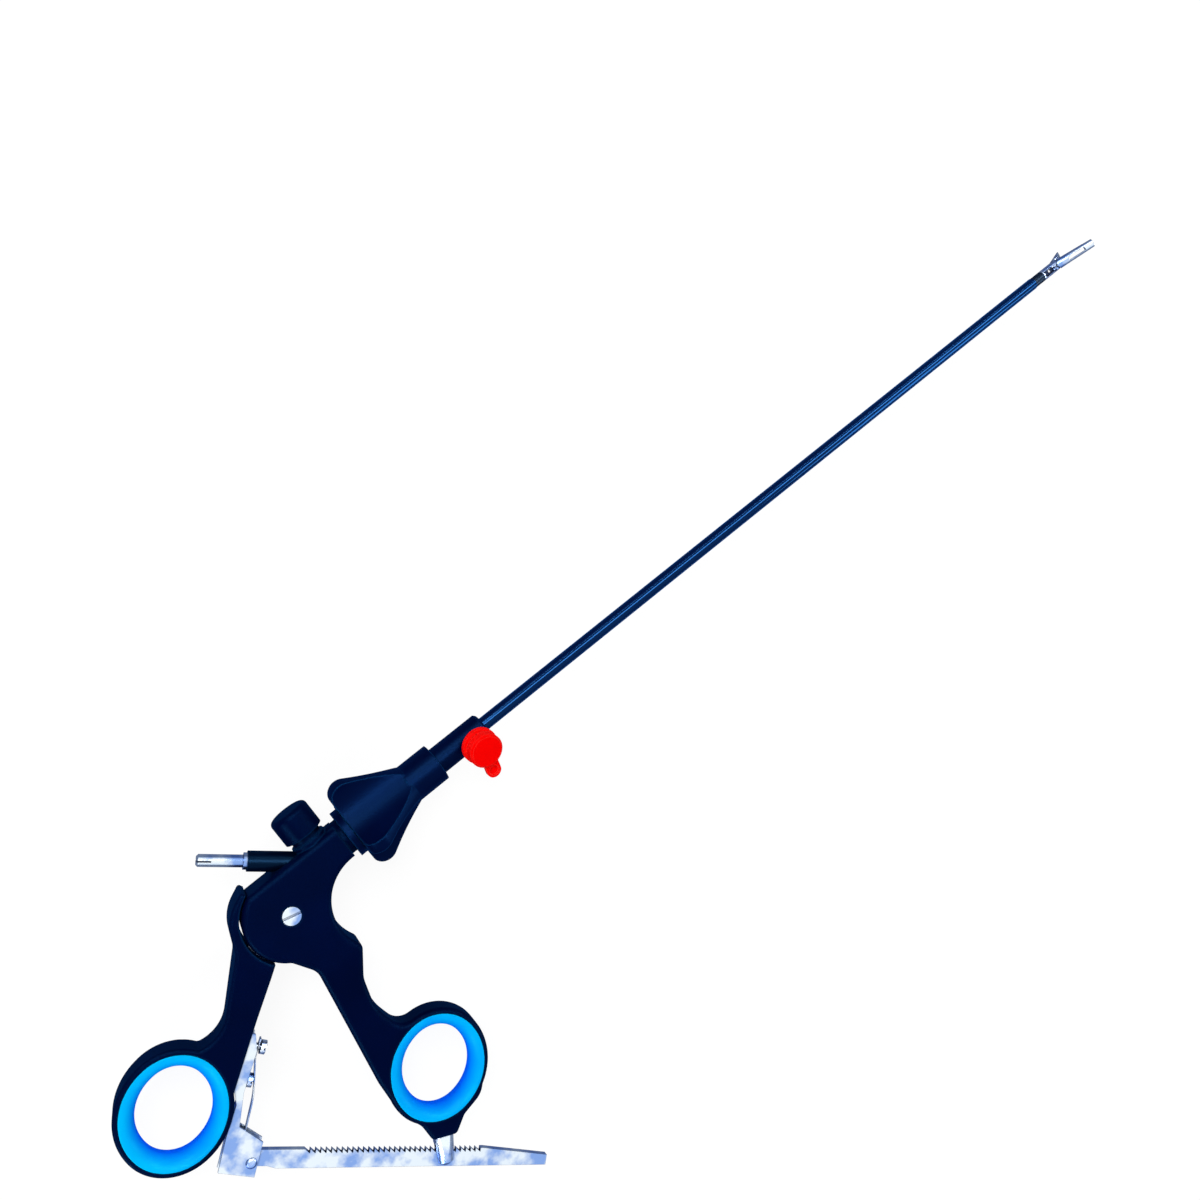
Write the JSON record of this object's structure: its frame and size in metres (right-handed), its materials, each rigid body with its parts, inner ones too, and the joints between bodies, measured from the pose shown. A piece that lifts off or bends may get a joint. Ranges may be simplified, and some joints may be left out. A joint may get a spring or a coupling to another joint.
{
  "type": "laparoscopic grasper",
  "caption": "Keyhole surgery grasper with a ratchet ring handle, rotation knob, capped flush port, insulated shaft and toggle-driven fenestrated jaws.",
  "frame": {"origin": "on the shaft's axis, where the insulated shaft leaves the neck of the flush port", "axes": "+X along the shaft towards the jaws, +Y up in use, where the release button is, +Z square to the plane of the handle, up as the instrument lies on its side"},
  "size_m": [0.5008, 0.1629, 0.0348],
  "materials": {
    "handle_plastic": "moulded, satin",
    "knob_plastic": "moulded, satin",
    "ring_insert_plastic": "soft moulded, satin",
    "black_plastic": "moulded, satin",
    "insulation": "shrunk sleeve, glossy",
    "cap_rubber": "moulded, matte",
    "seal_rubber": "moulded, matte",
    "steel": "stainless, fine satin"
  },
  "bodies": {
    "handle": {"front_handle": "handle_plastic", "front_ring_insert": "ring_insert_plastic", "pivot_screw": "steel", "pivot_nut": "steel", "catch_post": "steel", "hf_pin": "steel", "hf_sleeve": "black_plastic", "contact_ring": "steel", "neck_flange": "knob_plastic", "bearing_sleeve": "steel"},
    "lever": {"rear_handle": "handle_plastic", "rear_ring_insert": "ring_insert_plastic", "lever_tongue": "steel", "pivot_bush": "steel", "ratchet_bracket": "steel", "bracket_screw_upper": "steel", "bracket_screw_lower": "steel", "ratchet_spring": "steel", "rack_rivet": "steel"},
    "rack": {"ratchet_rack": "steel"},
    "button": {"release_button": "knob_plastic", "latch_plate": "steel", "button_spring": "steel"},
    "rotor": {"rotation_knob": "knob_plastic", "hub_sleeve": "black_plastic", "port_neck": "knob_plastic", "luer_port": "steel", "outer_tube": "steel", "insulation_sleeve": "insulation", "end_band": "insulation", "clevis": "steel", "jaw_pin": "steel", "rod_seal": "seal_rubber"},
    "cap": {"luer_cap": "cap_rubber"},
    "pull_rod": {"pull_rod": "steel", "rod_ball": "steel", "rod_tang": "steel", "rod_pin": "steel"},
    "jaw_upper": {"jaw_upper": "steel"},
    "jaw_lower": {"jaw_lower": "steel"},
    "link_upper": {"link_upper": "steel", "elbow_pin_upper": "steel"},
    "link_lower": {"link_lower": "steel", "elbow_pin_lower": "steel"}
  },
  "joints": [
    {"name": "handle_squeeze", "type": "hinge", "parent": "handle", "child": "lever", "pos_m": [-0.0856, -0.008, 0], "axis": [0, 0, 1], "range_deg": [0, 22]},
    {"name": "rack_swing", "type": "hinge", "parent": "lever", "child": "rack", "pos_m": [-0.141, -0.0638, 0], "axis": [0, 0, 1], "range_deg": [-34, 0.5]},
    {"name": "shaft_rotation", "type": "hinge", "parent": "handle", "child": "rotor", "pos_m": [-0.03, 0, 0], "axis": [1, 0, 0], "continuous": true},
    {"name": "cap_pull", "type": "slide", "parent": "rotor", "child": "cap", "axis": [0, -0.342, 0.9397], "range_m": [0, 0.008]},
    {"name": "pull_rod_slide", "type": "slide", "parent": "rotor", "child": "pull_rod", "axis": [1, 0, 0], "range_m": [-0.0018, 0.0001]},
    {"name": "jaw_upper_hinge", "type": "hinge", "parent": "rotor", "child": "jaw_upper", "pos_m": [0.3194, 0, 0], "axis": [0, 1, 0], "range_deg": [-0.5, 30.1]},
    {"name": "jaw_lower_hinge", "type": "hinge", "parent": "rotor", "child": "jaw_lower", "pos_m": [0.3194, 0, 0], "axis": [0, -1, 0], "range_deg": [-0.5, 30.1]},
    {"name": "link_upper_hinge", "type": "hinge", "parent": "pull_rod", "child": "link_upper", "pos_m": [0.31421, 0, 0], "axis": [0, -1, 0], "range_deg": [-0.5, 32.5]},
    {"name": "link_lower_hinge", "type": "hinge", "parent": "pull_rod", "child": "link_lower", "pos_m": [0.31421, 0, 0], "axis": [0, 1, 0], "range_deg": [-0.5, 32.5]},
    {"name": "button_press", "type": "slide", "parent": "handle", "child": "button", "axis": [0, -1, 0], "range_m": [0, 0.0018], "stiffness_N_per_m": 400, "springref_m": -0.002, "deforming": ["button_spring"]}
  ],
  "couplings": [
    {"joint": "rack_swing", "follows": "handle_squeeze", "ratio": -1.53},
    {"joint": "pull_rod_slide", "follows": "handle_squeeze", "m_per_rad": -0.0045919},
    {"joint": "jaw_upper_hinge", "follows": "handle_squeeze", "ratio": 1.3636},
    {"joint": "jaw_lower_hinge", "follows": "handle_squeeze", "ratio": 1.3636},
    {"joint": "link_upper_hinge", "follows": "handle_squeeze", "ratio": 1.4567},
    {"joint": "link_lower_hinge", "follows": "handle_squeeze", "ratio": 1.4567}
  ]
}
